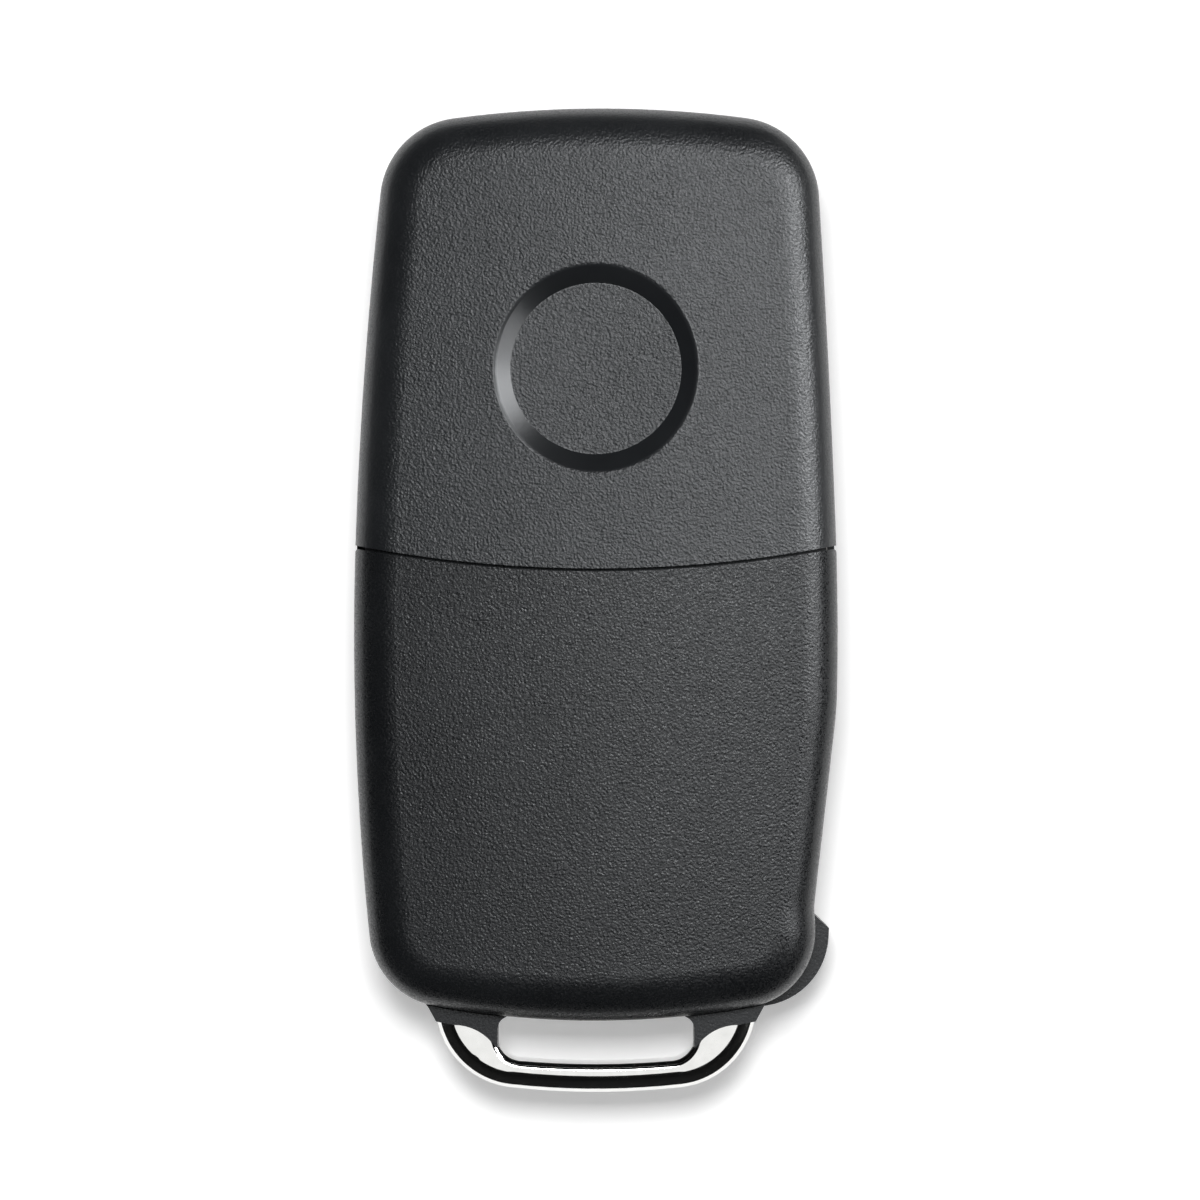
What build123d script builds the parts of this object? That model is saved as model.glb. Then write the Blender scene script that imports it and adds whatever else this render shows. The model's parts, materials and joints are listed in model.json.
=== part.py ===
from build123d import *
import math
import os

# Empty replacement case of a car key fob with a folding blade.
# It lies on its button face with its back up: x runs across, y towards the top end
# and z from the button face to the back. All sizes are in millimetres.

# In the names, a rise is a distance up from the lower end of the body or from the edge named
# before it, a drop is one down, and an inset is one in from the widest place of the side.
# The share of the side join is its part of the way from the split line to the arm of the hub.

# Overall size
total_length = 81.0
half_width = 19.9
thickness = 16.0
loop_reach = 6.05

# Outline of the body
widest_rise = 31.65
side_radius = 240.0
side_join_share = 0.2
top_narrowing = 2.35
top_lean = 0.45
top_crown = 1.65
bottom_crown = 2.25
top_corner_radius = 6.9
bottom_corner_radius = 6.5

# Finger scoop beside the blade tip, and the lip below it
scoop_start_rise = 25.65
scoop_end_inset = 1.95
scoop_end_rise = 9.35
scoop_blend_radius = 30.0
scoop_foot_radius = 3.0
cover_corner_inset = 1.55
cover_corner_rise = 2.35
cover_corner_radius = 6.3
lip_root_inset = 1.95
lip_root_rise = 8.65
lip_tip_inset = 0.6
lip_tip_rise = 7.4
lip_corner_inset = 0.9
lip_corner_drop = 0.35
lip_corner_radius = 6.0

# Shells
wall = 1.4
floor = 1.8
back_skin = 1.5
back_crown_radius = 180.0
back_edge_radius = 3.8
front_edge_radius = 2.5
tongue_height = 0.9
tongue_thickness = 0.6
fit_gap = 0.1
seat_gap = 0.05
past = 1.0

# Line between the two back covers, above the buttons of the other side
split_rise = 5.6
split_radius = 103.6
split_gap = 0.25
split_corner_radius = 0.3

# Round emblem seat in the back, above the split line
seat_rise = 16.35
seat_radius = 7.0
seat_depth = 1.1
seat_bevel = 1.5
seat_rim_radius = 0.5
seat_pad_margin = 1.0
seat_pad_skin = 1.2

# Hub of the folding blade, which turns about an upright axis
hub_drop = 9.7
hub_offset = 5.8
hub_rim = 1.6
hub_head_room = 1.6
hub_neck_wall = 1.0
hub_back_wall = 1.0
hub_edge_radius = 0.5
pivot_radius = 2.0
pivot_gap = 0.05
pivot_below = 1.0
turn_gap = 0.2
swing_gap = 0.3

# Arm of the hub, which holds the blade
arm_length = 17.6
arm_overlap = 0.5
arm_inset = 0.15
arm_corner_radius = 1.2
arm_depth = 3.2
arm_height = 3.4

# Blade
blade_inset = 0.8
blade_width = 8.2
blade_thickness = 2.3
blade_tip_rise = 9.0
blade_tip_width = 3.6
blade_tip_length = 2.6
blade_taper_length = 9.4
blade_taper = 0.85
blade_tip_gap = 0.35
cover_tip_gap = 3.5
blade_slot_gap = 0.35
tang_width = 5.4
tang_length = 10.5
blade_chamfer = 0.25
groove_width = 2.6
groove_depth = 0.6
groove_offset = 1.5
groove_stop = 5.0

pin_radius = 0.9
pin_bore_radius = 0.35
pin_up_arm = 5.2
pin_gap = 0.02

# Release button, its lock sleeve and the flip spring
release_rim = 0.4
release_gap = 0.2
release_recess = 0.25
release_dome = 0.45
release_cap_thickness = 0.95
release_travel = 2.1
sleeve_base = 0.85
sleeve_radius = 5.0
sleeve_wall = 1.0
sleeve_rise = 0.8
key_tab_length = 2.0
key_tab_width = 3.0
lock_tab_length = 1.4
lock_tab_width = 2.4
lock_tab_height = 0.9
lock_tab_gap = 0.1
guide_wall = 1.8

spring_gap = 0.25
wire_radius = 0.4
spring_turns = 5.5
spring_tang = 0.5

# Buttons, their frame and the rubber mat behind them
key_side_gap = 0.45
key_height = 8.6
key_bar = 0.4
key_gap = 0.15
key_end_radius = 5.0
key_corner_radius = 1.2
key_recess = 0.2
key_crown_radius = 40.0
key_edge_radius = 0.25
key_tab_rise = 0.15
tab_width = 0.9
tab_length = 3.6
tab_height = 0.5
tab_shift = 1.4
frame_width = 0.9
frame_recess = 0.1
frame_depth = 1.1
frame_ledge = 0.6
frame_edge_radius = 0.15
mat_gap = 0.05
dome_radius = 2.6
dome_height = 1.2
mat_thickness = 0.9
mat_bearing = 0.75
mat_rim_wall = 0.8
mat_rim_height = 0.7

lens_radius = 0.9
lens_rise = 1.7
lens_flange = 0.5

# Screws and their lugs, below the split line
screw_drop = 2.3
screw_left_inset = 4.4
screw_right_offset = 4.5
screw_head_radius = 1.7
screw_head_height = 1.1
screw_radius = 0.9
screw_length = 5.4
cross_width = 0.45
cross_length = 2.2
cross_depth = 0.6
lug_radius = 2.3
lug_thickness = 1.6
boss_radius = 2.1

# Walls inside
inner_wall = 1.2
rib_wall = 1.0
rib_rise = 13.65
rib_pitch = 9.9
rib_count = 4
bulkhead_rise = 2.8
collar_thickness = 1.0
collar_reach = 1.8
clip_rises = (11.65, 26.65)
clip_places_x = (-6.5, 5.5)
clip_width = 5.0
clip_thickness = 0.9
clip_depth = 2.6
clip_root = 2.0

# Key-ring loop and the ears that hold it
loop_inset = 6.65
loop_leg = 5.15
loop_corner_radius = 7.0
loop_crown = 1.38
loop_thickness = 5.6
loop_edge_radius = 1.4
slot_edge_radius = 0.6
slot_foot = 2.36
slot_crown = 0.45
slot_corner_radius = 2.0
ear_inset = 0.1
ear_flare = 1.3
ear_outer_drop = 0.12
ear_middle_drop = 0.4
ear_tip_drop = 2.25
ear_tip_width = 0.15
ear_sweep_width = 3.45
ear_corner_radius = 1.1
ear_thickness = 6.8
tenon_width = 2.4
tenon_height = 2.2
tenon_top = 0.35

# Places along the length, from the overall size
top_y = total_length / 2
loop_y = -total_length / 2
bottom_y = loop_y + loop_reach
low_y = bottom_y + bottom_crown
widest_y = bottom_y + widest_rise
far = total_length

# Places of the buttons, and of what follows above them
rim_inner = tab_width + 2 * key_gap
mat_margin = rim_inner + mat_bearing
key_pitch = key_height + key_bar + 2 * key_gap
key_low_y = bottom_y + wall + mat_rim_wall + 2 * fit_gap + mat_margin
key_middle_y = key_low_y + key_height / 2 + key_pitch
split_y = key_middle_y + key_pitch + key_height / 2 + split_rise
screw_y = split_y - screw_drop
split_end_y = split_y + split_radius - math.sqrt(split_radius**2 - half_width**2)
bulkhead_y = split_y + bulkhead_rise
lens_y = split_y + lens_rise
seat_y = split_y + seat_rise

# Places of the hub and blade
hub_y = top_y - hub_drop
arm_end_y = hub_y - arm_length
side_join_y = split_end_y + side_join_share * (arm_end_y - split_end_y)
pin_y = arm_end_y + pin_up_arm
blade_tip_y = bottom_y + blade_tip_rise
blade_outer_x = half_width - blade_inset
blade_x = blade_outer_x - blade_width / 2
channel_x = blade_outer_x - blade_width - swing_gap
hub_x = blade_x - hub_offset
arm_inner_x = channel_x - arm_overlap

# Places across the width
key_half_width = channel_x - inner_wall - key_side_gap - mat_margin
screw_left_x = screw_left_inset - half_width
screw_right_x = channel_x - screw_right_offset
loop_half_width = half_width - loop_inset
slot_half_width = loop_half_width - loop_leg
slot_foot_y = loop_y + slot_foot
ear_half_width = loop_half_width - ear_inset

# Radii about the axis of the hub
release_radius = sleeve_radius + release_rim
spring_radius = sleeve_radius - sleeve_wall - wire_radius - spring_gap
key_tab_reach = sleeve_radius + key_tab_length
lock_tab_reach = sleeve_radius + lock_tab_length
guide_radius = lock_tab_reach + release_gap
hub_radius = guide_radius + hub_rim
spring_start_x = hub_x + spring_radius
spring_end_x = hub_x + (-1) ** round(2 * spring_turns) * spring_radius
hub_bore_radius = sleeve_radius + release_gap
hub_neck_radius = hub_bore_radius + hub_neck_wall

# Heights
parting_z = thickness / 2
blade_low_z = parting_z - blade_thickness / 2
blade_high_z = parting_z + blade_thickness / 2
hub_low_z = parting_z - arm_depth
hub_high_z = parting_z + arm_height
hub_back_z = thickness - back_skin - hub_head_room
hub_wall_z = hub_back_z - hub_back_wall
swing_low_z = hub_low_z - turn_gap
swing_high_z = hub_high_z + turn_gap
lug_high_z = parting_z + lug_thickness
seat_floor_z = thickness - seat_depth

sleeve_low_z = release_recess + release_dome + release_cap_thickness
sleeve_floor_z = sleeve_low_z + sleeve_base
sleeve_high_z = hub_low_z + sleeve_rise
lock_tab_high_z = hub_low_z - lock_tab_gap
lock_tab_low_z = lock_tab_high_z - lock_tab_height
ledge_high_z = hub_low_z + lock_tab_height
relief_high_z = lock_tab_high_z + release_travel + release_gap

key_back_z = floor + key_tab_rise + tab_height
mat_low_z = key_back_z + mat_gap + dome_height
mat_high_z = mat_low_z + mat_thickness


def box(x0, x1, y0, y1, z0, z1):
    """Block between two corners."""
    centre = Pos((x0 + x1) / 2, (y0 + y1) / 2, (z0 + z1) / 2)
    return centre * Box(x1 - x0, y1 - y0, z1 - z0)


def rect(x0, x1, y0, y1):
    """Flat rectangle between two corners."""
    return Pos((x0 + x1) / 2, (y0 + y1) / 2) * Rectangle(x1 - x0, y1 - y0)


def disc(x, y, radius, z0, z1):
    """Upright cylinder at (x, y)."""
    return Pos(x, y, (z0 + z1) / 2) * Cylinder(radius, z1 - z0)


def hub_disc(radius, z0, z1):
    """Upright cylinder about the axis of the hub."""
    return disc(hub_x, hub_y, radius, z0, z1)


def rod(z, radius):
    """Long cylinder that lies along y at the height z."""
    return Pos(0, 0, z) * Rot(90, 0, 0) * Cylinder(radius, 3 * far)


def prism(face, z0, z1):
    """Flat shape raised from z0 to z1."""
    return Pos(0, 0, z0) * extrude(face, amount=z1 - z0)


def true_arc(edge):
    """Edge of a moved outline, made a plain arc where it only follows one."""
    if edge.geom_type in (GeomType.LINE, GeomType.CIRCLE):
        return edge
    return ThreePointArc(edge @ 0, edge @ 0.5, edge @ 1)


def grown(face, amount):
    """Flat shape with its edge moved out by the amount."""
    edges = [true_arc(edge) for edge in offset(face, amount=amount).edges()]
    return make_face(Wire(edges).edges())


def ring(face, inner, outer):
    """Band round a flat shape, between two distances from its edge."""
    return grown(face, outer) - grown(face, inner)


def rounded(face, corners):
    """Flat shape with the vertex nearest each point rounded by the radius beside it."""
    for point, radius in corners:
        vertex = face.vertices().sort_by_distance(point)[0]
        face = fillet(vertex, radius)
    return face


def flipped(point):
    """Point on the other side of the middle line."""
    return (-point[0], point[1])


def side_point(inset, rise):
    """Point so far in from the widest place of the side and up from the lower end."""
    return (half_width - inset, bottom_y + rise)


def both_sides(shape):
    """Shape with its mirror image across the middle line."""
    return shape + mirror(shape, about=Plane.YZ)


def side_x(y):
    """Half width of the body on its lower side arc."""
    return half_width - side_radius + math.sqrt(side_radius**2 - (y - widest_y) ** 2)


# Outlines

widest = (half_width, widest_y)
join = (side_x(side_join_y), side_join_y)
join_tangent = (widest_y - side_join_y, join[0] - half_width + side_radius)
high_right = (half_width - top_narrowing + top_lean, top_y - top_crown)
high_left = (top_narrowing + top_lean - half_width, top_y - top_crown)
low_left = (-side_x(low_y), low_y)
scoop_start = (side_x(bottom_y + scoop_start_rise), bottom_y + scoop_start_rise)
scoop_end = side_point(scoop_end_inset, scoop_end_rise)
cover_corner = side_point(cover_corner_inset, cover_corner_rise)
lip_root = side_point(lip_root_inset, lip_root_rise)
lip_tip = side_point(lip_tip_inset, lip_tip_rise)


def case_outline(right_side, low_right, corners):
    """Closed outline round the given lower right side, which ends at the join."""
    edges = [
        ThreePointArc(low_left, (0, bottom_y), low_right),
        *right_side,
        TangentArc(join, high_right, tangent=join_tangent),
        ThreePointArc(high_right, (0, top_y), high_left),
        TangentArc(flipped(join), high_left, tangent=flipped(join_tangent)),
        ThreePointArc(flipped(join), flipped(widest), low_left),
    ]
    shared = [
        (high_right, top_corner_radius),
        (high_left, top_corner_radius),
        (low_left, bottom_corner_radius),
    ]
    return rounded(make_face(edges), shared + corners)


def back_outline():
    """Outline of the back covers, which narrows at the finger scoop."""
    right_side = [
        Line(cover_corner, scoop_end),
        Line(scoop_end, scoop_start),
        ThreePointArc(scoop_start, widest, join),
    ]
    corners = [
        (cover_corner, cover_corner_radius),
        (scoop_end, scoop_foot_radius),
        (scoop_start, scoop_blend_radius),
    ]
    return case_outline(right_side, cover_corner, corners)


def front_outline():
    """Outline of the front case before the scoop is cut, full at the lip."""
    corner = (half_width - lip_corner_inset, low_y - lip_corner_drop)
    middle_y = (widest_y + side_join_y) / 2
    right_side = [
        TangentArc(widest, corner, tangent=(0, -1)),
        ThreePointArc(widest, (side_x(middle_y), middle_y), join),
    ]
    return case_outline(right_side, corner, [(corner, lip_corner_radius)])


back_face = back_outline()
front_face = front_outline()
cavity_face = grown(back_face, -wall)


def back_block(inset, skin, edge_radius):
    """Solid under the crowned back, set in from the outline and down from the surface."""
    block = prism(grown(back_face, -inset) if inset else back_face, parting_z, thickness + past)
    block = block & rod(thickness - back_crown_radius, back_crown_radius - skin)
    crown = block.faces().sort_by(Axis.Z)[-1]
    return fillet(crown.edges(), edge_radius)


back_outside = back_block(0, 0, back_edge_radius)
back_middle = back_block(wall / 2, back_skin / 2, back_edge_radius - wall / 2)
back_inside = back_block(wall, back_skin, back_edge_radius - wall)


# Room that the folding blade sweeps


def hub_face():
    """Plan of the hub and its arm, whose outer side follows the case."""
    arm = grown(back_face, -arm_inset) & rect(arm_inner_x, far, arm_end_y, hub_y)
    outer_x = arm.bounding_box().max.X
    corners = [
        ((arm_inner_x, arm_end_y), arm_corner_radius),
        ((outer_x, arm_end_y), arm_corner_radius),
    ]
    return rounded(arm, corners) + Pos(hub_x, hub_y) * Circle(hub_radius)


hub_plan = hub_face()
arm_reach = hub_plan.bounding_box().max.X - hub_x


def swing_room():
    """Space that the hub, arm and blade need from folded to open."""
    low = swing_low_z
    high_z = swing_high_z
    blade = box(
        channel_x,
        far,
        blade_tip_y - blade_tip_gap,
        hub_y,
        blade_low_z - blade_slot_gap,
        blade_high_z + blade_slot_gap,
    )
    folded = box(arm_inner_x - swing_gap, far, arm_end_y - swing_gap, hub_y, low, high_z)
    opened = box(hub_x - arm_reach - swing_gap, far, hub_y, far, low, high_z)
    return blade + folded + opened + hub_disc(hub_radius + turn_gap, low, high_z)


swing = swing_room()


# Back covers


def tongue_groove():
    """Room for the tongue that stands on the wall of the front case."""
    band = ring(back_face, -wall - fit_gap, tongue_thickness + fit_gap - wall)
    return prism(band, parting_z - past, parting_z + tongue_height + fit_gap)


back_shell = back_outside - back_inside
back_room = swing + tongue_groove()


def above_split(gap):
    """Large round plan whose edge is the line between the back covers."""
    return Pos(0, split_y + split_radius) * Circle(split_radius + gap)


def cover_face():
    """Plan of the battery cover, with its upper corners rounded."""
    face = back_face - above_split(split_gap)
    corner = (half_width, split_end_y)
    return rounded(face, [(corner, split_corner_radius), (flipped(corner), split_corner_radius)])


def split_collar():
    """Lip of the upper back cover under the edge of the battery cover, which closes the split line."""
    low, high = fit_gap, fit_gap + collar_thickness
    outside = back_block(wall / 2 + low, back_skin / 2 + low, back_edge_radius - wall / 2 - low)
    inside = back_block(wall / 2 + high, back_skin / 2 + high, back_edge_radius - wall / 2 - high)
    plan = above_split(collar_reach) & rect(-far, far, -far, bulkhead_y + inner_wall)
    return (outside - inside) & prism(plan, parting_z, thickness)


def screw_lug(x):
    """Lug of the upper back cover that reaches under the battery cover to a screw."""
    lug = disc(x, screw_y, lug_radius, parting_z, lug_high_z)
    neck = box(x - lug_radius, x + lug_radius, screw_y, bulkhead_y + inner_wall, parting_z, lug_high_z)
    hole = disc(x, screw_y, screw_radius + fit_gap, parting_z - past, lug_high_z + past)
    return lug + neck - hole


def on_seat_rim(edge):
    """Whether an edge is the round rim where the emblem seat meets the back."""
    point = edge.position_at(0.5)
    reach = math.hypot(point.X, point.Y - seat_y)
    return seat_radius < reach < seat_radius + 2 * seat_bevel and point.Z > seat_floor_z + fit_gap


def make_rear_upper_case():
    """Upper back cover with the emblem seat, the pivot boss and the screw lugs."""
    pad_radius = seat_radius + seat_bevel + seat_pad_margin
    pad = disc(0, seat_y, pad_radius, seat_floor_z - seat_pad_skin, thickness)
    pivot = hub_disc(pivot_radius, hub_wall_z - pivot_below, thickness)
    bulkhead = box(-far, far, bulkhead_y, bulkhead_y + inner_wall, parting_z, thickness)
    case = back_shell & prism(above_split(0), 0, 2 * thickness)
    case = case + ((pad + pivot + bulkhead) & back_middle) + split_collar() - back_room
    case = case + screw_lug(screw_left_x) + screw_lug(screw_right_x)
    seat = Pos(0, seat_y, thickness) * Cone(
        seat_radius, seat_radius + 2 * seat_bevel, 2 * seat_depth
    )
    case = case - seat
    return fillet(case.edges().filter_by(on_seat_rim), seat_rim_radius)


def clip_face(inner):
    """Plan of the battery cover's clips, which follow the inside of the case wall."""
    half = clip_width / 2
    side = [rect(-far, 0, bottom_y + rise - half, bottom_y + rise + half) for rise in clip_rises]
    foot = [rect(x - half, x + half, -far, key_middle_y) for x in clip_places_x]
    band = ring(back_face, -wall - fit_gap - clip_thickness, inner)
    return band & (side[0] + side[1] + foot[0] + foot[1])


def make_battery_cover():
    """Lower back cover, which lifts off the battery."""
    rebate = back_middle & prism(above_split(collar_reach + fit_gap), parting_z, thickness)
    tip_room = box(
        channel_x,
        far,
        blade_tip_y - cover_tip_gap,
        blade_tip_y,
        parting_z - past,
        blade_high_z + blade_slot_gap,
    )
    cover = back_shell & prism(cover_face(), 0, 2 * thickness)
    root_z = parting_z + tongue_height + fit_gap
    clips = prism(clip_face(-wall - fit_gap), parting_z - clip_depth, root_z)
    roots = prism(clip_face(-wall / 2), root_z, root_z + clip_root)
    return cover - back_room - rebate - tip_room + clips + roots


# Front case


def scoop_room():
    """What the finger scoop takes off the front case, down to the sloping lip."""
    step = (lip_tip[0] - lip_root[0], lip_tip[1] - lip_root[1])
    start = (lip_root[0] - step[0], lip_root[1] - step[1])
    end = (lip_tip[0] + 2 * step[0], lip_tip[1] + 2 * step[1])
    points = [start, end, (end[0], widest_y), (start[0], widest_y)]
    region = make_face(Polyline(*points, close=True)) - back_face
    return prism(region, -past, parting_z + past)


def key_block():
    """Plan of the whole column of buttons."""
    height = 2 * key_pitch + key_height
    return Pos(0, key_middle_y) * RectangleRounded(2 * key_half_width, height, key_end_radius)


keys_face = key_block()


def above_ears():
    """Plan of all that lies above the lower edge of the right ear, which sweeps down beside the slot."""
    tip_y = bottom_y - ear_tip_drop
    tip = (slot_half_width + ear_tip_width, tip_y)
    sweep = (tip[0] + ear_sweep_width, bottom_y - ear_middle_drop)
    outer = (ear_half_width, bottom_y - ear_outer_drop)
    edges = [
        Polyline((0, far), (0, tip_y), tip),
        TangentArc(sweep, tip, tangent=(-1, 0)),
        Polyline(sweep, outer, (far, outer[1]), (far, far), (0, far)),
    ]
    return make_face(edges)


def ears_face():
    """Plan of both ears with the edge of the case that they grow from."""
    points = [
        (slot_half_width, low_y),
        (slot_half_width, -far),
        (ear_half_width, -far),
        (ear_half_width, bottom_y - ear_outer_drop),
        (ear_half_width + ear_flare, low_y),
    ]
    ear = make_face(Polyline(*points, close=True)) & above_ears()
    foot = back_face & rect(-far, far, -far, low_y + wall)
    face = foot + both_sides(ear)
    inner = (slot_half_width, bottom_y + ear_middle_drop)
    outer = (ear_half_width + ear_flare, bottom_y + bottom_crown / 2)
    corners = [inner, flipped(inner), outer, flipped(outer)]
    return rounded(face, [(corner, ear_corner_radius) for corner in corners])


def tenon(gap):
    """Tongue on one leg of the loop, or its socket in the ear, grown by the gap."""
    x = (slot_half_width + loop_half_width) / 2
    return box(
        x - tenon_width / 2 - gap,
        x + tenon_width / 2 + gap,
        bottom_y - ear_tip_drop,
        bottom_y + tenon_top + gap,
        parting_z - tenon_height / 2 - gap,
        parting_z + tenon_height / 2 + gap,
    )


def ears():
    """Both ears, clear of the battery cover above the parting line."""
    low = parting_z - ear_thickness / 2
    face = ears_face()
    above = prism(face - grown(back_face, fit_gap), parting_z, low + ear_thickness)
    return above + prism(face - cavity_face, low, parting_z)


def screw_boss(x):
    """Post in the front case for one screw."""
    return disc(x, screw_y, boss_radius, floor / 2, parting_z)


def screw_hole(x):
    """Hole for the shank of one screw."""
    end_z = lug_high_z - screw_length - fit_gap
    return disc(x, screw_y, screw_radius + seat_gap, end_z, parting_z + past)


def front_insides():
    """Walls, ribs, bosses and rims that stand on the floor of the front case."""
    guide = hub_disc(guide_radius + guide_wall, floor / 2, swing_low_z)
    divider = box(
        channel_x - inner_wall, channel_x, -far, arm_end_y - swing_gap, floor / 2, parting_z
    )
    rim = prism(ring(keys_face, rim_inner, mat_margin + fit_gap + mat_rim_wall), floor / 2, mat_low_z)
    fence = prism(
        ring(keys_face, mat_margin + fit_gap, mat_margin + fit_gap + mat_rim_wall),
        floor / 2,
        mat_low_z + mat_rim_height,
    )
    shapes = guide + divider + rim + fence + screw_boss(screw_left_x) + screw_boss(screw_right_x)
    for place_up in range(rib_count):
        y = bottom_y + rib_rise + place_up * rib_pitch
        shapes = shapes + box(
            channel_x - inner_wall / 2,
            far,
            y - rib_wall / 2,
            y + rib_wall / 2,
            floor / 2,
            blade_low_z - blade_slot_gap,
        )
    return shapes & prism(grown(back_face, -wall / 2), 0, parting_z)


def front_openings():
    """Holes in the floor of the front case for the buttons and what carries them."""
    recess = prism(
        grown(keys_face, key_gap + frame_width + seat_gap), -past, frame_recess + frame_depth
    )
    keys = prism(grown(keys_face, key_gap + frame_width - frame_ledge), -past, floor + past)
    bore = hub_disc(release_radius + release_gap, -past, floor + past)
    guide = hub_disc(guide_radius, floor, swing_low_z + past)
    slot_x = key_tab_width / 2 + release_gap
    slot_y = key_tab_reach + release_gap
    slots = box(
        hub_x - slot_x, hub_x + slot_x, hub_y - slot_y, hub_y + slot_y, floor, swing_low_z + past
    )
    lens = disc(0, lens_y, lens_radius + seat_gap, -past, floor + past)
    return recess + keys + bore + guide + slots + lens


def make_front_case():
    """Front case with the button openings, the blade channel and the loop's ears."""
    block = prism(front_face, 0, parting_z)
    block = fillet(block.faces().sort_by(Axis.Z)[0].edges(), front_edge_radius)
    case = block - prism(cavity_face, floor, parting_z + past) - scoop_room()
    tongue = ring(back_face, -wall, tongue_thickness - wall)
    case = case + prism(tongue, parting_z - tongue_height, parting_z + tongue_height)
    case = case + ears() + front_insides()
    case = case - front_openings() - swing - both_sides(tenon(seat_gap))
    return case - screw_hole(screw_left_x) - screw_hole(screw_right_x)


# Key-ring loop


def u_face(half, foot_y, crown, head_y, corner_radius):
    """Flat U shape with a bowed foot and two rounded corners."""
    corner = (half, foot_y + crown)
    foot = ThreePointArc(flipped(corner), (0, foot_y), corner)
    sides = Polyline(corner, (half, head_y), (-half, head_y), flipped(corner))
    corners = [(corner, corner_radius), (flipped(corner), corner_radius)]
    return rounded(make_face([foot, sides]), corners)


def on_slot(edge):
    """Whether an edge runs round the slot of the loop."""
    middle = edge.position_at(0.5)
    return abs(middle.X) < slot_half_width + fit_gap and middle.Y > slot_foot_y - fit_gap


def end_edges(solid):
    """Edges of a solid's lowest and highest flat faces."""
    ends = solid.faces().sort_by(Axis.Z)
    return ends[0].edges() + ends[-1].edges()


def make_keyring_loop():
    """Chrome loop with rounded edges, whose legs end in tongues inside the ears."""
    outer = u_face(loop_half_width, loop_y, loop_crown, widest_y, loop_corner_radius)
    slot = u_face(slot_half_width, slot_foot_y, slot_crown, widest_y, slot_corner_radius)
    low = parting_z - loop_thickness / 2
    bar = prism(outer - slot, low, low + loop_thickness)
    bar = fillet(end_edges(bar).filter_by(lambda e: not on_slot(e)), loop_edge_radius)
    bar = fillet(end_edges(bar).filter_by(on_slot), slot_edge_radius)
    return bar - both_sides(prism(above_ears(), 0, thickness)) + both_sides(tenon(0))


# Folding blade


def make_key_blade():
    """Uncut blade with a milled track in each face and a tang for the hub."""
    half = blade_width / 2
    tip_half = blade_tip_width / 2
    shoulder_y = blade_tip_y + blade_tip_length
    side = [
        (tip_half, blade_tip_y),
        (half - blade_taper, shoulder_y),
        (half, shoulder_y + blade_taper_length),
        (half, arm_end_y),
        (tang_width / 2, arm_end_y),
        (tang_width / 2, arm_end_y + tang_length),
    ]
    points = side + [flipped(point) for point in reversed(side)]
    outline = Pos(blade_x, 0) * make_face(Polyline(*points, close=True))
    blade = prism(outline, blade_low_z, blade_high_z)
    blade = chamfer(end_edges(blade), blade_chamfer)
    end_y = arm_end_y - groove_stop
    for sign, z in ((1, blade_high_z), (-1, blade_low_z)):
        x = blade_x + sign * groove_offset
        half_groove = groove_width / 2
        track = box(
            x - half_groove, x + half_groove, -far, end_y, z - groove_depth, z + groove_depth
        )
        blade = blade - track - disc(x, end_y, half_groove, z - groove_depth, z + groove_depth)
    return blade - disc(blade_x, pin_y, pin_radius + pin_gap, 0, thickness)


def make_blade_hub():
    """Turning hub with the arm that grips the blade and the notches of its lock."""
    hub = prism(hub_plan, hub_low_z, hub_high_z)
    hub = fillet(end_edges(hub), hub_edge_radius)
    hub = hub + hub_disc(hub_neck_radius, hub_high_z, hub_back_z)
    hub = hub - hub_disc(hub_bore_radius, hub_low_z - past, hub_wall_z)
    hub = hub - hub_disc(guide_radius, ledge_high_z, relief_high_z)
    hub = hub - hub_disc(pivot_radius + pivot_gap, hub_low_z, thickness)
    notch_y = lock_tab_width / 2 + release_gap
    hub = hub - box(
        hub_x - guide_radius,
        hub_x + guide_radius,
        hub_y - notch_y,
        hub_y + notch_y,
        hub_low_z - past,
        relief_high_z,
    )
    hub = hub - box(
        blade_x - tang_width / 2 - seat_gap,
        blade_x + tang_width / 2 + seat_gap,
        arm_end_y - past,
        arm_end_y + tang_length + seat_gap,
        blade_low_z - seat_gap,
        blade_high_z + seat_gap,
    )
    hub = hub - disc(blade_x, pin_y, pin_radius + pin_gap, 0, thickness)
    tang_z = hub_wall_z + spring_tang + fit_gap
    return hub - disc(spring_end_x, hub_y, wire_radius + fit_gap, hub_wall_z - past, tang_z)


def make_blade_pin():
    """Hollow pin that holds the blade in the arm."""
    pin = disc(blade_x, pin_y, pin_radius, hub_low_z, hub_high_z)
    return pin - disc(blade_x, pin_y, pin_bore_radius, 0, thickness)


def make_release_button():
    """Domed cap of the release button."""
    rim_z = release_recess + release_dome
    radius = (release_radius**2 + release_dome**2) / (2 * release_dome)
    cap = hub_disc(release_radius, release_recess - release_dome, sleeve_low_z)
    dome = Pos(hub_x, hub_y, release_recess + radius) * Sphere(radius)
    low = hub_disc(release_radius, rim_z, sleeve_low_z)
    return (cap & dome) + low


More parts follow.
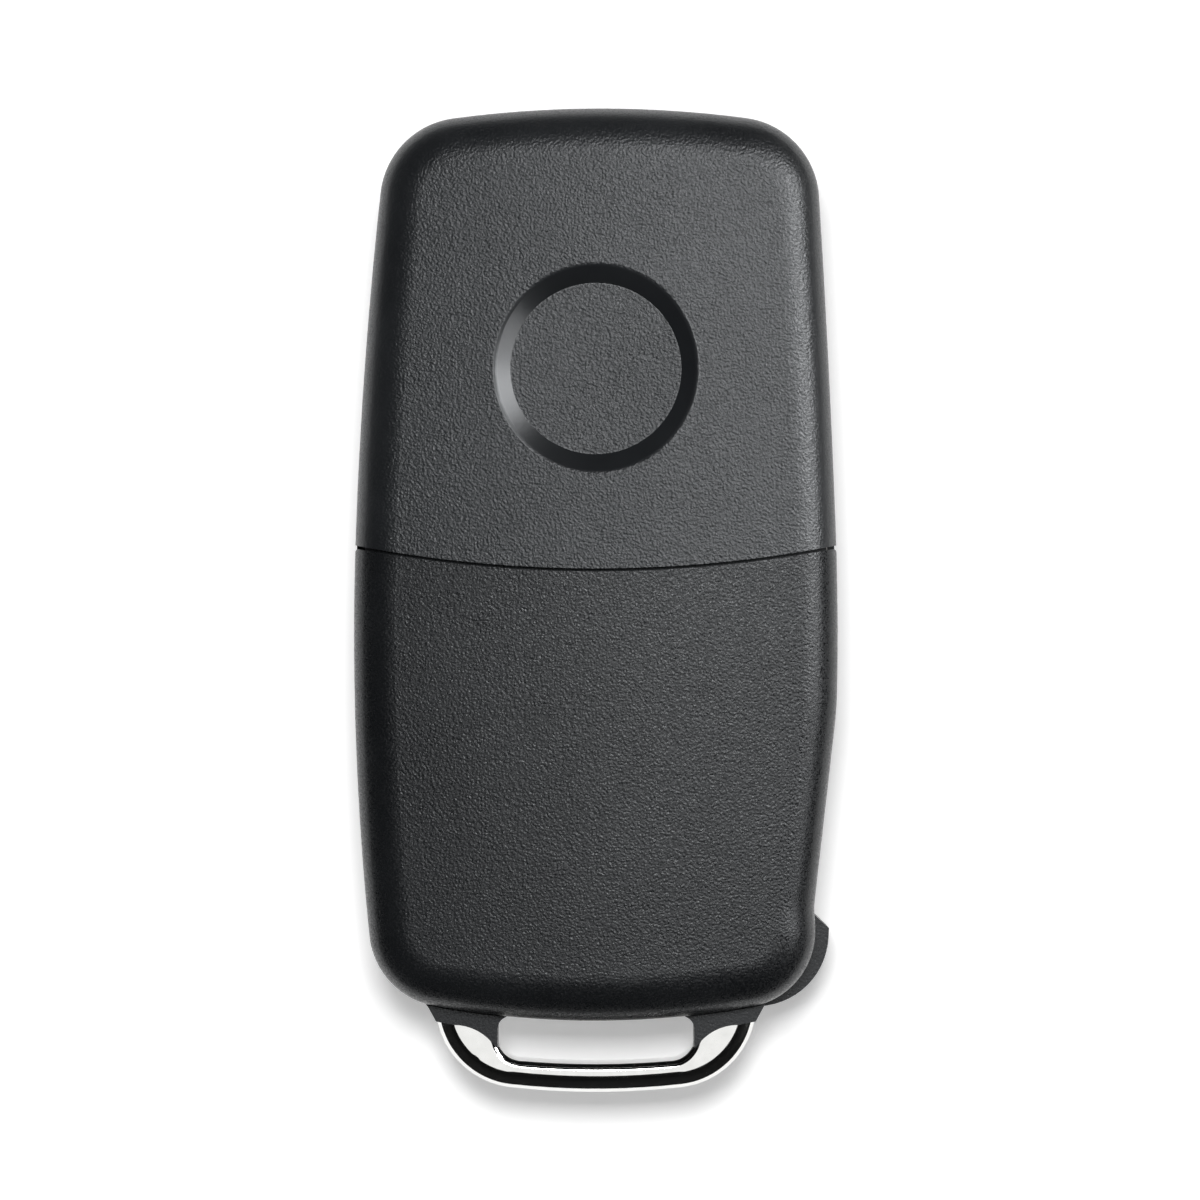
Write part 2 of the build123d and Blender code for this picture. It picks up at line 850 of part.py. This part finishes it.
def make_lock_sleeve():
    """Sleeve behind the release button, with two guide tabs and two lock tabs."""
    sleeve = hub_disc(sleeve_radius, sleeve_low_z, sleeve_high_z)
    sleeve = sleeve - hub_disc(sleeve_radius - sleeve_wall, sleeve_floor_z, sleeve_high_z + past)
    guide = box(
        hub_x - key_tab_width / 2,
        hub_x + key_tab_width / 2,
        hub_y - key_tab_reach,
        hub_y + key_tab_reach,
        floor + fit_gap,
        sleeve_floor_z,
    )
    lock = box(
        hub_x - lock_tab_reach,
        hub_x + lock_tab_reach,
        hub_y - lock_tab_width / 2,
        hub_y + lock_tab_width / 2,
        lock_tab_low_z,
        lock_tab_high_z,
    )
    lock = lock - hub_disc(sleeve_radius - sleeve_wall / 2, 0, thickness)
    pocket_z = sleeve_floor_z - spring_tang - fit_gap
    pocket = disc(spring_start_x, hub_y, wire_radius + fit_gap, pocket_z, sleeve_high_z)
    return sleeve + guide + lock - pocket


def make_flip_spring():
    """Coil between the lock sleeve and the hub, with a straight end in each."""
    start_z = sleeve_floor_z + seat_gap + wire_radius
    end_z = hub_wall_z - seat_gap - wire_radius
    height = end_z - start_z
    path = Helix(height / spring_turns, height, spring_radius, center=(hub_x, hub_y, start_z))
    section = Plane(origin=path @ 0, z_dir=path % 0) * Circle(wire_radius)
    coil = sweep(section, path=path, is_frenet=True)
    low_end = disc(spring_start_x, hub_y, wire_radius, sleeve_floor_z - spring_tang, start_z)
    high_end = disc(spring_end_x, hub_y, wire_radius, end_z, hub_wall_z + spring_tang)
    return coil + low_end + high_end


# Buttons


def make_button(place):
    """One button of the column, counted from the middle one, with its two tabs."""
    middle_y = key_middle_y + place * key_pitch
    low = middle_y - key_height / 2
    high_y = middle_y + key_height / 2
    face = keys_face & rect(-half_width, half_width, low, high_y)
    for end_y, inner in ((low, place > -1), (high_y, place < 1)):
        if inner:
            ends = [(key_half_width, end_y), (-key_half_width, end_y)]
            face = rounded(face, [(end, key_corner_radius) for end in ends])
    button = prism(face, 0, key_back_z) & rod(key_recess + key_crown_radius, key_crown_radius)
    button = fillet(button.faces().sort_by(Axis.Z)[0].edges(), key_edge_radius)
    reach = key_half_width + tab_width
    tab_y = middle_y - place * tab_shift
    tabs = box(
        -reach,
        reach,
        tab_y - tab_length / 2,
        tab_y + tab_length / 2,
        key_back_z - tab_height,
        key_back_z,
    )
    return button + tabs


def make_button_bezel():
    """Chrome frame round the three buttons, with a bar between each two."""
    high_z = frame_recess + frame_depth
    frame = prism(ring(keys_face, key_gap, key_gap + frame_width), frame_recess, high_z)
    reach = key_half_width + key_gap + frame_width / 2
    for place in (-1, 1):
        y = key_middle_y + place * key_pitch / 2
        frame = frame + box(-reach, reach, y - key_bar / 2, y + key_bar / 2, frame_recess, high_z)
    return fillet(frame.faces().sort_by(Axis.Z)[0].edges(), frame_edge_radius)


def make_button_membrane():
    """Rubber mat with a dome behind each button."""
    mat = prism(grown(keys_face, mat_margin), mat_low_z, mat_high_z)
    for place in (-1, 0, 1):
        y = key_middle_y + place * key_pitch
        mat = mat + disc(0, y, dome_radius, mat_low_z - dome_height, mat_low_z)
    return mat


def make_indicator_lens():
    """Clear pipe that shows the light through the front."""
    pipe = disc(0, lens_y, lens_radius, frame_recess, floor)
    return pipe + disc(0, lens_y, lens_radius + lens_flange, floor, floor + lens_flange)


def make_screw(x):
    """Cross-head screw that holds the upper back cover down."""
    head_z = lug_high_z + screw_head_height
    screw = disc(x, screw_y, screw_head_radius, lug_high_z, head_z)
    screw = screw + disc(x, screw_y, screw_radius, lug_high_z - screw_length, lug_high_z)
    for width, length in ((cross_width, cross_length), (cross_length, cross_width)):
        cut = Pos(x, screw_y, head_z) * Box(width, length, 2 * cross_depth)
        screw = screw - cut
    return screw


parts = {
    "front_case": make_front_case(),
    "rear_upper_case": make_rear_upper_case(),
    "battery_cover": make_battery_cover(),
    "keyring_loop": make_keyring_loop(),
    "key_blade": make_key_blade(),
    "blade_hub": make_blade_hub(),
    "blade_pin": make_blade_pin(),
    "release_button": make_release_button(),
    "lock_sleeve": make_lock_sleeve(),
    "flip_spring": make_flip_spring(),
    "lock_button": make_button(1),
    "boot_button": make_button(0),
    "unlock_button": make_button(-1),
    "button_bezel": make_button_bezel(),
    "button_membrane": make_button_membrane(),
    "indicator_lens": make_indicator_lens(),
    "case_screw_left": make_screw(screw_left_x),
    "case_screw_right": make_screw(screw_right_x),
}

os.makedirs("parts", exist_ok=True)
for name, shape in parts.items():
    export_step(shape, f"parts/{name}.step")
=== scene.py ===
import json
import math

import bmesh
import bpy
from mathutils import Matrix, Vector


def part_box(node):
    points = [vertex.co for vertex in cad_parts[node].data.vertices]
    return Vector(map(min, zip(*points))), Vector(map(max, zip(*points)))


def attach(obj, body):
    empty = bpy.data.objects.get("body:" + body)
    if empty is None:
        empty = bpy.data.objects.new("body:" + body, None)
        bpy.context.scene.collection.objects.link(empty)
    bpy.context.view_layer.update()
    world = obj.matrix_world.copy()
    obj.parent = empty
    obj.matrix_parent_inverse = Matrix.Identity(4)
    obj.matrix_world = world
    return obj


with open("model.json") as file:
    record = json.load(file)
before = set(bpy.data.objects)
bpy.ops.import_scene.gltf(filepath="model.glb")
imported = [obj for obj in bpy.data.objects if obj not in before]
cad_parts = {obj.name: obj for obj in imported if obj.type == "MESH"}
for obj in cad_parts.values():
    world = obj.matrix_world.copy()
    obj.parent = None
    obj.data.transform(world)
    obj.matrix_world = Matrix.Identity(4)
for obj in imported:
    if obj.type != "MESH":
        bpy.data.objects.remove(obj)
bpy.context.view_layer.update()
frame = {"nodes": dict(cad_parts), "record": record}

MM = 0.001

# Photograph: its width in the plane of the outline, and the point at its middle
PHOTO_WIDTH = 98.60 * MM
PHOTO_CENTRE = Vector((0.34 * MM, 0.12 * MM, 12.2 * MM))
LENS = 200.0
SENSOR = 36.0


# Node helpers


class Shader:
    """Material with a Principled shader, and short ways to add and join its nodes."""

    def __init__(self, name):
        self.material = bpy.data.materials.new(name)
        self.material.use_nodes = True
        self.tree = self.material.node_tree
        self.main = self.tree.nodes["Principled BSDF"]
        coordinates = self.add("ShaderNodeTexCoord")
        self.place = coordinates.outputs["Object"]
        self.normal = coordinates.outputs["Normal"]

    def add(self, kind, values=(), **settings):
        """New node with its settings and the values of its inputs, by name or number."""
        node = self.tree.nodes.new(kind)
        for name, value in settings.items():
            setattr(node, name, value)
        for name, value in dict(values).items():
            node.inputs[name].default_value = value
        return node

    def join(self, output, target):
        self.tree.links.new(output, target)

    def set(self, **values):
        """Values on the sockets of the Principled shader."""
        for name, value in values.items():
            self.main.inputs[name.replace("_", " ")].default_value = value

    def scaled(self, scale):
        """Object coordinates stretched by three factors."""
        node = self.add("ShaderNodeMapping", {"Scale": scale})
        self.join(self.place, node.inputs["Vector"])
        return node.outputs["Vector"]

    def noise(self, scale, detail=2.0, roughness=0.5, place=None):
        """Noise with so many features in a metre."""
        values = {"Scale": scale, "Detail": detail, "Roughness": roughness}
        node = self.add("ShaderNodeTexNoise", values)
        self.join(place or self.place, node.inputs["Vector"])
        return node.outputs["Fac"]

    def pebbles(self, scale):
        """Rounded cells with so many in a metre, from 0 between them to 1 on top."""
        node = self.add("ShaderNodeTexVoronoi", {"Scale": scale}, feature="SMOOTH_F1")
        node.inputs["Smoothness"].default_value = 0.6
        self.join(self.place, node.inputs["Vector"])
        return self.spread(node.outputs["Distance"], 0.0, 0.75, 1.0, 0.0)

    def spread(self, output, low, high, new_low, new_high):
        """Value moved from one range to another."""
        node = self.add("ShaderNodeMapRange")
        for name, value in zip(
            ("From Min", "From Max", "To Min", "To Max"), (low, high, new_low, new_high)
        ):
            node.inputs[name].default_value = value
        self.join(output, node.inputs["Value"])
        return node.outputs["Result"]

    def math(self, operation, first, second):
        """Sum, product and the like of two values or outputs."""
        node = self.add("ShaderNodeMath", operation=operation)
        for socket, value in zip(node.inputs, (first, second)):
            if isinstance(value, (int, float)):
                socket.default_value = value
            else:
                self.join(value, socket)
        return node.outputs["Value"]

    def steepness(self):
        """0 where the surface lies flat and 1 where it stands upright."""
        normal = self.add("ShaderNodeSeparateXYZ")
        self.join(self.normal, normal.inputs["Vector"])
        upright = self.math("ABSOLUTE", normal.outputs["Z"], 0.0)
        return self.math("SUBTRACT", 1.0, upright)

    def round_band(self, centre, inner, outer, soft):
        """1 between two radii about an upright axis and 0 elsewhere, with soft edges."""
        distance = self.add("ShaderNodeVectorMath", operation="DISTANCE")
        self.join(self.scaled((1.0, 1.0, 0.0)), distance.inputs[0])
        distance.inputs[1].default_value = (centre[0], centre[1], 0.0)
        reach = distance.outputs["Value"]
        above = self.spread(reach, inner - soft, inner + soft, 0.0, 1.0)
        below = self.spread(reach, outer - soft, outer + soft, 1.0, 0.0)
        return self.math("MULTIPLY", above, below)

    def tint(self, output, low, high, dark, light):
        """Base colour between two tones, as the value goes from low to high."""
        ramp = self.add("ShaderNodeValToRGB")
        ramp.color_ramp.elements[0].position = low
        ramp.color_ramp.elements[0].color = (*dark, 1.0)
        ramp.color_ramp.elements[1].position = high
        ramp.color_ramp.elements[1].color = (*light, 1.0)
        self.join(output, ramp.inputs["Fac"])
        self.join(ramp.outputs["Color"], self.main.inputs["Base Color"])

    def rough(self, output, low, high, smooth, coarse):
        """Roughness between two values, as the value goes from low to high."""
        self.join(self.spread(output, low, high, smooth, coarse), self.main.inputs["Roughness"])

    def bump(self, height, depth, strength=1.0):
        """Relief of the given depth in metres; the strength may be an output."""
        node = self.add("ShaderNodeBump", {"Distance": depth})
        if isinstance(strength, float):
            node.inputs["Strength"].default_value = strength
        else:
            self.join(strength, node.inputs["Strength"])
        self.join(height, node.inputs["Height"])
        self.join(node.outputs["Normal"], self.main.inputs["Normal"])


# Materials


CASE_DARK = (0.0082, 0.0092, 0.0105)
CASE_LIGHT = (0.0135, 0.0148, 0.0165)
GRAIN_SCALE = 5200.0
GRAIN_DEPTH = 0.038 * MM
CELL_SCALE = 0.85 * GRAIN_SCALE
CELL_SHARE = 0.45
GLOSS_SCALE = 1.3 * GRAIN_SCALE
FLAT_GRAIN = 0.9
WALL_GRAIN = 0.25
DULL_ROUGHNESS = 0.52
GLOSSY_ROUGHNESS = 0.20
BEVEL_SOFTNESS = 0.12 * MM
BEVEL_GRAIN = 0.06
BEVEL_ROUGHNESS = 0.32
SPLIT_CENTRE = (0.0, 106.3 * MM)
SPLIT_RADIUS = 103.6 * MM
SPLIT_GAP = 0.25 * MM
SPLIT_SOFTNESS = 0.02 * MM
SPLIT_ROUGHNESS = 0.95


def casing_material(name, shade, specular, grain_share, seat=None):
    """Black ABS with an eroded grain, shallow on the walls, and on the bevel of a seat if one is given.

    The seat is its centre and the two radii between which its bevel lies. The gap along the split line
    is matt, as if dusty.
    """
    shader = Shader(name)
    shader.set(Specular_IOR_Level=specular, Specular_Tint=(0.96, 0.98, 1.0, 1.0))
    cloud = shader.noise(160.0, 3.0)
    # Both tones are scaled by the shade, which makes copies of this one black plastic darker where shade
    # falls (painted shade) and lighter where light falls (painted light).
    dark = tuple(shade * channel for channel in CASE_DARK)
    light = tuple(shade * channel for channel in CASE_LIGHT)
    shader.tint(cloud, 0.3, 0.7, dark, light)
    coarse = shader.noise(GRAIN_SCALE, 2.5, 0.55)
    cells = shader.pebbles(CELL_SCALE)
    relief = shader.math("ADD", coarse, shader.math("MULTIPLY", cells, CELL_SHARE))
    strength = shader.spread(shader.steepness(), 0.05, 0.35, FLAT_GRAIN, WALL_GRAIN)
    gloss = shader.noise(GLOSS_SCALE, 2.0)
    roughness = shader.spread(gloss, 0.36, 0.64, DULL_ROUGHNESS, GLOSSY_ROUGHNESS)
    if seat:
        bevel = shader.round_band(*seat, BEVEL_SOFTNESS)
        rest = shader.spread(bevel, 0.0, 1.0, 1.0, BEVEL_GRAIN)
        strength = shader.math("MULTIPLY", strength, rest)
        roughness = shader.math("MULTIPLY", roughness, rest)
        roughness = shader.math("MAXIMUM", roughness, BEVEL_ROUGHNESS)
    joint = shader.round_band(SPLIT_CENTRE, SPLIT_RADIUS, SPLIT_RADIUS + SPLIT_GAP, SPLIT_SOFTNESS)
    dust = shader.math("MULTIPLY", joint, SPLIT_ROUGHNESS)
    shader.join(shader.math("MAXIMUM", roughness, dust), shader.main.inputs["Roughness"])
    shader.bump(relief, grain_share * GRAIN_DEPTH, strength)
    return shader.material


def plain_plastic(name, dark, light, smooth, coarse, grain_depth):
    """Moulded plastic with a fine matt grain."""
    shader = Shader(name)
    shader.tint(shader.noise(220.0, 3.0), 0.3, 0.7, dark, light)
    fine = shader.noise(GRAIN_SCALE, 2.0)
    shader.rough(fine, 0.3, 0.7, smooth, coarse)
    shader.bump(fine, grain_depth, 0.6)
    return shader.material


def chrome_material(name):
    """Bright plating with the faint waviness and haze of a plated die casting."""
    shader = Shader(name)
    shader.set(Metallic=1.0)
    haze = shader.noise(900.0, 4.0)
    shader.tint(haze, 0.3, 0.8, (0.80, 0.80, 0.78), (0.90, 0.90, 0.88))
    shader.rough(haze, 0.35, 0.8, 0.035, 0.11)
    shader.bump(shader.noise(260.0, 1.0), 0.004 * MM, 0.5)
    return shader.material


def brushed_steel(name, dark, light, scale, smooth, coarse):
    """Steel with fine marks, longer along the axis where the scale is smallest."""
    shader = Shader(name)
    shader.set(Metallic=1.0)
    marks = shader.noise(1.0, 4.0, 0.6, shader.scaled(scale))
    shader.tint(marks, 0.3, 0.7, dark, light)
    shader.rough(marks, 0.3, 0.7, smooth, coarse)
    shader.bump(marks, 0.003 * MM, 0.6)
    return shader.material


def rubber_material(name):
    """Silicone rubber of the button mat, slightly dusty."""
    shader = Shader(name)
    shader.set(Sheen_Weight=0.15, Sheen_Roughness=0.5)
    dust = shader.noise(700.0, 5.0, 0.6)
    shader.tint(dust, 0.35, 0.75, (0.030, 0.031, 0.033), (0.060, 0.061, 0.063))
    shader.rough(dust, 0.3, 0.7, 0.62, 0.78)
    shader.bump(shader.noise(4000.0, 2.0), 0.006 * MM, 0.5)
    return shader.material


def lens_material(name):
    """Clear red light pipe with a faint cloudiness from moulding."""
    shader = Shader(name)
    shader.set(Transmission_Weight=0.85, IOR=1.49)
    cloud = shader.noise(1800.0, 3.0)
    shader.tint(cloud, 0.3, 0.8, (0.62, 0.05, 0.04), (0.78, 0.10, 0.08))
    shader.rough(cloud, 0.3, 0.8, 0.05, 0.16)
    return shader.material


def paint_material(name):
    """Pale grey pad print of the signs on the buttons."""
    shader = Shader(name)
    wear = shader.noise(2600.0, 4.0, 0.6)
    shader.tint(wear, 0.3, 0.6, (0.62, 0.63, 0.64), (0.80, 0.81, 0.82))
    shader.rough(wear, 0.3, 0.7, 0.42, 0.58)
    shader.bump(wear, 0.002 * MM, 0.4)
    return shader.material


# Signs on the buttons


SIGN_THICKNESS = 0.03 * MM
SIGN_SINK = 0.04 * MM
SIGN_STEP = 0.4 * MM
SIGN_CUTS = 6
KEY_CROWN_RADIUS = 40.0 * MM


def arc(centre, radius, start, end, steps=16):
    """Points on an arc, with the angles in degrees."""
    angles = [math.radians(start + (end - start) * n / steps) for n in range(steps + 1)]
    return [(centre[0] + radius * math.cos(a), centre[1] + radius * math.sin(a)) for a in angles]


def block(x0, x1, y0, y1, radius):
    """Outline of a rectangle with rounded corners."""
    left, right, low, high = x0 + radius, x1 - radius, y0 + radius, y1 - radius
    points = []
    for centre, start in (((right, high), 0), ((left, high), 90), ((left, low), 180), ((right, low), 270)):
        points += arc(centre, radius, start, start + 90, 5)
    return points


def padlock(shift, lift):
    """Outlines of a padlock, in millimetres; an open one has its shackle moved and lifted."""
    body = block(-1.25, 1.25, -1.45, 0.45, 0.25)
    hole = arc((0.0, -0.5), 0.28, 0, 350, 18)
    outer = arc((shift, 0.75 + lift), 0.95, 0, 180)
    inner = arc((shift, 0.75 + lift), 0.60, 180, 0)
    shackle = [(shift + 0.95, 0.6)] + outer + [(shift - 0.95, 0.6)]
    shackle += [(shift - 0.60, 0.6)] + inner + [(shift + 0.60, 0.6)]
    return [body, hole], [shackle]


def car_boot():
    """Outlines of a car from its side with the boot lid up, in millimetres."""
    body = [(-2.3, -0.75), (-2.3, -0.1), (-1.5, 0.1), (-0.8, 0.75), (0.65, 0.75)]
    body += [(1.25, 0.12), (2.2, 0.05), (2.3, -0.75)]
    lid = [(1.2, 0.38), (2.05, 1.35), (2.3, 1.2), (1.5, 0.22)]
    wheels = [arc((x, -0.8), 0.42, 0, 340, 17) for x in (-1.35, 1.35)]
    return [body], [lid], [wheels[0]], [wheels[1]]


def flat_mesh(outlines):
    """Flat mesh inside one outline and outside the holes in it, given in millimetres."""
    curve = bpy.data.curves.new("outline", "CURVE")
    curve.dimensions = "2D"
    curve.fill_mode = "BOTH"
    for points in outlines:
        spline = curve.splines.new("POLY")
        spline.points.add(len(points) - 1)
        spline.use_cyclic_u = True
        for target, (x, y) in zip(spline.points, points):
            target.co = (x * MM, y * MM, 0.0, 1.0)
    return bpy.data.meshes.new_from_object(bpy.data.objects.new("outline", curve))


def sign(name, groups, button, body, material):
    """Thin raised print on a button, which follows the crown of its face."""
    low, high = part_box(button)
    middle_y = (low.y + high.y) / 2
    mesh = bmesh.new()
    for outlines in groups:
        mesh.from_mesh(flat_mesh(outlines))
    for step in range(-SIGN_CUTS, SIGN_CUTS + 1):
        everything = mesh.verts[:] + mesh.edges[:] + mesh.faces[:]
        place = (step * SIGN_STEP, 0.0, 0.0)
        bmesh.ops.bisect_plane(mesh, geom=everything, plane_co=place, plane_no=(1.0, 0.0, 0.0))
    bmesh.ops.remove_doubles(mesh, verts=mesh.verts, dist=0.001 * MM)
    raised = bmesh.ops.extrude_face_region(mesh, geom=mesh.faces[:])["geom"]
    raised = {item for item in raised if isinstance(item, bmesh.types.BMVert)}
    for vertex in mesh.verts:
        x, y = vertex.co.xy
        crown = KEY_CROWN_RADIUS - math.sqrt(KEY_CROWN_RADIUS**2 - x * x)
        height = SIGN_SINK if vertex in raised else -SIGN_THICKNESS
        vertex.co = (-x, middle_y + y, low.z + crown + height)
    bmesh.ops.recalc_face_normals(mesh, faces=mesh.faces)
    data = bpy.data.meshes.new(name)
    mesh.to_mesh(data)
    mesh.free()
    piece = bpy.data.objects.new(name, data)
    bpy.context.scene.collection.objects.link(piece)
    data.materials.append(material)
    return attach(piece, body)


# Dress the CAD nodes

SEAT_RADIUS = 7.0 * MM
SEAT_RIM = 8.45 * MM

seat_mount = next(m for m in frame["record"]["mounts"] if m["name"] == "emblem_seat")
seat_bevel = (seat_mount["pos_m"], SEAT_RADIUS, SEAT_RIM)

materials = {
    # Shade 0.6 on the front case and 0.72 on the battery cover is painted shade; shade 1.08 on the rear
    # upper case is painted light.
    "front_case": casing_material("front_casing", shade=0.6, specular=0.42, grain_share=0.3),
    "battery_cover": casing_material("cover_casing", shade=0.72, specular=0.42, grain_share=1.25),
    "rear_upper_case": casing_material(
        "back_casing", shade=1.08, specular=0.58, grain_share=1.6, seat=seat_bevel
    ),
    "keyring_loop": chrome_material("loop_chrome"),
    "release_button": chrome_material("release_chrome"),
    "button_bezel": chrome_material("bezel_chrome"),
    "key_blade": brushed_steel(
        "blade_steel", (0.50, 0.49, 0.47), (0.66, 0.65, 0.63), (5000.0, 350.0, 5000.0), 0.22, 0.38
    ),
    "blade_pin": brushed_steel(
        "pin_steel", (0.42, 0.41, 0.40), (0.58, 0.57, 0.55), (2500.0, 2500.0, 600.0), 0.25, 0.4
    ),
    "flip_spring": brushed_steel(
        "spring_steel", (0.26, 0.26, 0.27), (0.42, 0.42, 0.43), (1800.0, 1800.0, 1800.0), 0.28, 0.42
    ),
    "case_screw_left": brushed_steel(
        "screw_zinc", (0.52, 0.52, 0.50), (0.70, 0.70, 0.68), (1500.0, 1500.0, 700.0), 0.26, 0.42
    ),
    "blade_hub": plain_plastic(
        "hub_plastic", (0.012, 0.012, 0.013), (0.020, 0.020, 0.021), 0.34, 0.48, 0.004 * MM
    ),
    "lock_sleeve": plain_plastic(
        "sleeve_plastic", (0.035, 0.035, 0.037), (0.055, 0.055, 0.057), 0.38, 0.5, 0.003 * MM
    ),
    "lock_button": plain_plastic(
        "button_plastic", (0.011, 0.011, 0.012), (0.019, 0.019, 0.020), 0.42, 0.56, 0.005 * MM
    ),
    "button_membrane": rubber_material("mat_rubber"),
    "indicator_lens": lens_material("lens_red"),
}
materials["case_screw_right"] = materials["case_screw_left"]
materials["boot_button"] = materials["lock_button"]
materials["unlock_button"] = materials["lock_button"]

for name, piece in frame["nodes"].items():
    piece.data.materials.clear()
    piece.data.materials.append(materials[name])

print_paint = paint_material("sign_paint")
sign("lock_sign", padlock(0.0, 0.0), "lock_button", "lock", print_paint)
sign("unlock_sign", padlock(1.55, 0.25), "unlock_button", "unlock", print_paint)
sign("boot_sign", car_boot(), "boot_button", "boot", print_paint)


# Studio


def seen_ray(tree):
    """1 for rays from the camera and rays that metal and glass reflect or let through."""
    path = tree.nodes.new("ShaderNodeLightPath")
    total = path.outputs["Is Camera Ray"]
    for name in ("Is Glossy Ray", "Is Transmission Ray"):
        node = tree.nodes.new("ShaderNodeMath")
        node.operation = "MAXIMUM"
        tree.links.new(total, node.inputs[0])
        tree.links.new(path.outputs[name], node.inputs[1])
        total = node.outputs["Value"]
    return total


def between(tree, factor, first, second):
    """Value that goes from first to second with the factor."""
    node = tree.nodes.new("ShaderNodeMapRange")
    node.inputs["To Min"].default_value = first
    node.inputs["To Max"].default_value = second
    tree.links.new(factor, node.inputs["Value"])
    return node.outputs["Result"]


AMBIENT = 0.25
FLOOR_SIZE = 4.0
FLOOR_GAP = 0.02 * MM
FLOOR_COLOUR = 0.80
FLOOR_SEEN_COLOUR = 0.90
FLOOR_SEEN_GLOW = 0.30


def make_world():
    """Even white surroundings, at full strength only where they are seen."""
    world = bpy.data.worlds.new("studio")
    bpy.context.scene.world = world
    world.use_nodes = True
    tree = world.node_tree
    background = tree.nodes["Background"]
    background.inputs["Color"].default_value = (1.0, 1.0, 1.0, 1.0)
    tree.links.new(between(tree, seen_ray(tree), AMBIENT, 1.0), background.inputs["Strength"])


def make_floor():
    """Plain white floor, which glows where it is seen and keeps the shadow."""
    half = FLOOR_SIZE / 2
    data = bpy.data.meshes.new("floor")
    corners = ((-half, -half), (half, -half), (half, half), (-half, half))
    data.from_pydata([(x, y, -FLOOR_GAP) for x, y in corners], [], [(0, 1, 2, 3)])
    floor = bpy.data.objects.new("floor", data)
    bpy.context.scene.collection.objects.link(floor)
    material = bpy.data.materials.new("floor_white")
    material.use_nodes = True
    tree = material.node_tree
    tree.nodes.remove(tree.nodes["Principled BSDF"])
    diffuse = tree.nodes.new("ShaderNodeBsdfDiffuse")
    glow = tree.nodes.new("ShaderNodeEmission")
    total = tree.nodes.new("ShaderNodeAddShader")
    seen = seen_ray(tree)
    tone = tree.nodes.new("ShaderNodeCombineColor")
    shade = between(tree, seen, FLOOR_COLOUR, FLOOR_SEEN_COLOUR)
    for channel in tone.inputs[:3]:
        tree.links.new(shade, channel)
    tree.links.new(tone.outputs["Color"], diffuse.inputs["Color"])
    tree.links.new(between(tree, seen, 0.0, FLOOR_SEEN_GLOW), glow.inputs["Strength"])
    tree.links.new(diffuse.outputs["BSDF"], total.inputs[0])
    tree.links.new(glow.outputs["Emission"], total.inputs[1])
    tree.links.new(total.outputs["Shader"], tree.nodes["Material Output"].inputs["Surface"])
    data.materials.append(material)


FLAG_SIDES = 48


def make_flag(name, half_x, half_y, low, high):
    """Dark oval cloth that stands round the set between two heights, and that only reflections show."""
    mesh = bmesh.new()
    rings = []
    for z in (low, high):
        ring = []
        for n in range(FLAG_SIDES):
            turn = 2 * math.pi * n / FLAG_SIDES
            ring.append(mesh.verts.new((half_x * math.cos(turn), half_y * math.sin(turn), z)))
        rings.append(ring)
    for n in range(FLAG_SIDES):
        after = (n + 1) % FLAG_SIDES
        mesh.faces.new((rings[0][n], rings[0][after], rings[1][after], rings[1][n]))
    data = bpy.data.meshes.new(name)
    mesh.to_mesh(data)
    mesh.free()
    flag = bpy.data.objects.new(name, data)
    bpy.context.scene.collection.objects.link(flag)
    shader = Shader(name)
    shader.tint(shader.noise(40.0), 0.3, 0.7, (0.010, 0.010, 0.010), (0.016, 0.016, 0.016))
    shader.set(Roughness=0.9, Specular_IOR_Level=0.1)
    data.materials.append(shader.material)
    flag.visible_camera = False
    flag.visible_diffuse = False
    flag.visible_shadow = False
    flag.visible_transmission = False


def softbox(name, azimuth, height, distance, width, length, radiance):
    """Soft rectangular lamp that looks at the middle of the object.

    Its azimuth and its height above the floor are in degrees. Its width lies level.
    """
    data = bpy.data.lights.new(name, "AREA")
    data.shape = "RECTANGLE"
    data.size = width
    data.size_y = length
    data.energy = radiance * math.pi * width * length
    lamp = bpy.data.objects.new(name, data)
    bpy.context.scene.collection.objects.link(lamp)
    turn, lift = math.radians(azimuth), math.radians(height)
    offset = Vector((math.cos(lift) * math.cos(turn), math.cos(lift) * math.sin(turn), math.sin(lift)))
    lamp.location = PHOTO_CENTRE + distance * offset
    lamp.rotation_euler = offset.to_track_quat("Z", "Y").to_euler()
    lamp.visible_camera = False
    return lamp


def make_camera():
    """Long lens straight above the back of the fob."""
    data = bpy.data.cameras.new("camera")
    data.lens = LENS
    data.sensor_width = SENSOR
    data.clip_start = 0.01
    camera = bpy.data.objects.new("camera", data)
    bpy.context.scene.collection.objects.link(camera)
    camera.location = PHOTO_CENTRE + Vector((0.0, 0.0, PHOTO_WIDTH * LENS / SENSOR))
    bpy.context.scene.camera = camera


make_world()
make_floor()
make_flag("high_cloth", half_x=0.45, half_y=0.45, low=0.03, high=1.95)
make_flag("low_cloth", half_x=0.062, half_y=0.076, low=0.0005, high=0.030)
main_light = softbox(
    "main_softbox", azimuth=95.0, height=78.0, distance=0.60, width=0.13, length=0.13, radiance=51.0
)
main_light.visible_glossy = False
cards = (
    softbox("side_card", azimuth=20.0, height=37.0, distance=0.30, width=0.14, length=0.19, radiance=11.0),
    softbox("low_card", azimuth=5.0, height=19.0, distance=0.30, width=0.42, length=0.06, radiance=8.0),
    softbox("top_card", azimuth=56.0, height=75.0, distance=0.45, width=0.14, length=0.15, radiance=13.0),
)
for card in cards:
    card.visible_diffuse = False
make_camera()
bpy.context.scene.view_settings.view_transform = "Standard"
